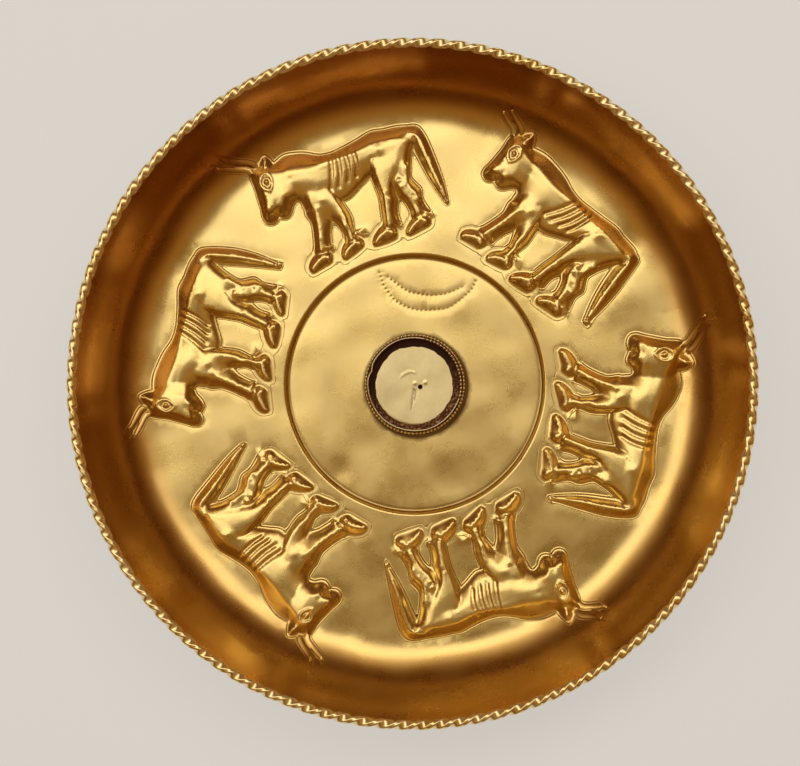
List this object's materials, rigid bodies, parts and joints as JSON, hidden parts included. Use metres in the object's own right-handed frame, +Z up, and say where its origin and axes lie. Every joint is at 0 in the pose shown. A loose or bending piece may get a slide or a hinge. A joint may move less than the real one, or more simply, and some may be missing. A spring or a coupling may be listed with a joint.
{
  "type": "phiale",
  "caption": "Shallow hammered gold offering bowl with a frieze of walking bulls in relief, a twisted strip on its lip and a beaded collar for a lost inlay on its sunk medallion.",
  "frame": {"origin": "centre of the medallion's underside, on the surface that the bowl stands on", "axes": "+Z up along the bowl's axis, +Y towards the top of the picture and +X to its right"},
  "size_m": [0.146, 0.146, 0.0246],
  "materials": {
    "hammered_gold": "satin, hammered and chased",
    "strip_gold": "polished by wear",
    "collar_gold": "satin",
    "pale_gold": "satin, scratched",
    "old_cement": "dull, crumbled"
  },
  "bodies": {
    "root": {"bowl": "hammered_gold", "rim_strip": "strip_gold", "collar": "collar_gold", "upper_beaded_wire": "collar_gold", "foot_beaded_wire": "collar_gold", "setting_disc": "pale_gold", "cement_ring": "old_cement"}
  },
  "joints": []
}
